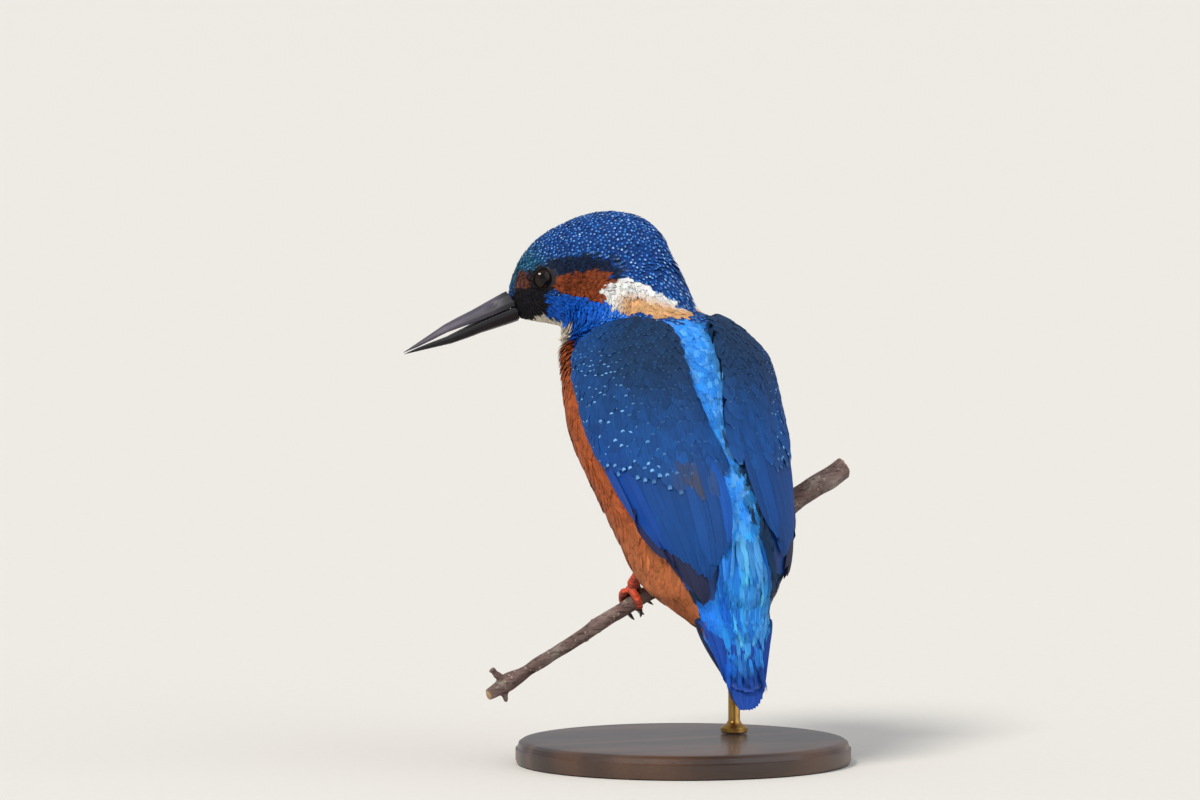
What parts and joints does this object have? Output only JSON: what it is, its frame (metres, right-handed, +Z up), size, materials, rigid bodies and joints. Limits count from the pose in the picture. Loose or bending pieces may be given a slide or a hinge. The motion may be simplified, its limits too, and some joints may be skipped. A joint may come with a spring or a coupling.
{
  "type": "kingfisher model",
  "caption": "Life-size still model of a common kingfisher with its head turned, gripping a cut branch held by a rod on a round base.",
  "frame": {"origin": "middle of the stand base's underside", "axes": "+Z up, along the height; the bird's body faces -Y, its left side is +X, and its head is turned towards +X"},
  "size_m": [0.1126, 0.0848, 0.1379],
  "materials": {
    "blue_feather": "glossy blue plumage with paler bars",
    "orange_feather": "soft orange-chestnut plumage",
    "wing_feather": "dark blue plumage with pale blue spots",
    "bill_horn": "black horn with a soft sheen",
    "eye_brown": "very dark brown, wet gloss",
    "foot_skin": "scaled orange-red skin",
    "claw_horn": "dark horn",
    "bark": "thin grey-brown bark, with pale cut ends",
    "rod_brass": "satin brass",
    "base_wood": "dark stained, satin varnish"
  },
  "bodies": {
    "root": {"head": "blue_feather", "bill_upper": "bill_horn", "bill_lower": "bill_horn", "eye_left": "eye_brown", "eye_right": "eye_brown", "neck": "blue_feather", "trunk": "orange_feather", "wing_left": "wing_feather", "wing_right": "wing_feather", "tail": "blue_feather", "leg_left": "foot_skin", "leg_right": "foot_skin", "claw_left_inner": "claw_horn", "claw_left_middle": "claw_horn", "claw_left_outer": "claw_horn", "claw_left_hind": "claw_horn", "claw_right_inner": "claw_horn", "claw_right_middle": "claw_horn", "claw_right_outer": "claw_horn", "claw_right_hind": "claw_horn", "perch": "bark", "stand_rod": "rod_brass", "stand_base": "base_wood"}
  },
  "joints": []
}
